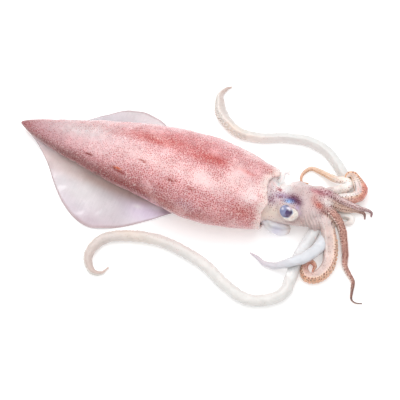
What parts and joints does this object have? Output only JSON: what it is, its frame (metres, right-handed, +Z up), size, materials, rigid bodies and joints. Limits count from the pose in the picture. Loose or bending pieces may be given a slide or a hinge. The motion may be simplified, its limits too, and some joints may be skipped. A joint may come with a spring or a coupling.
{
  "type": "squid",
  "caption": "Whole raw squid lying on a surface: tapered speckled mantle, side fins, head with eyes and funnel, curling arms and two long tentacles.",
  "frame": {"origin": "middle of the bounding box, on the surface that the squid lies on", "axes": "+X along the mantle from the tail towards the head, +Y towards the squid's left side, +Z up"},
  "size_m": [0.3112, 0.2048, 0.0518],
  "materials": {
    "mantle_skin": "wet, translucent pink skin with dense red-brown dots",
    "fin_skin": "wet, thin and translucent, white with a pinkish edge",
    "head_skin": "wet, pale pink-grey with violet and red patches",
    "eye": "glossy, blue-grey and violet with a dark pupil",
    "arm_skin": "wet, pink-beige with orange-brown edges and dots",
    "pale_flesh": "wet, milky white with a faint peach tint"
  },
  "bodies": {
    "root": {"mantle": "mantle_skin", "fin_right": "fin_skin", "fin_left": "fin_skin", "head": "head_skin", "eye_right": "eye", "eye_left": "eye", "funnel": "pale_flesh", "tentacle_right": "pale_flesh", "tentacle_left": "pale_flesh", "arm_right_4": "pale_flesh", "arm_right_3": "arm_skin", "arm_right_2": "arm_skin", "arm_right_1": "arm_skin", "arm_left_1": "arm_skin", "arm_left_2": "arm_skin", "arm_left_3": "arm_skin", "arm_left_4": "pale_flesh"}
  },
  "joints": []
}
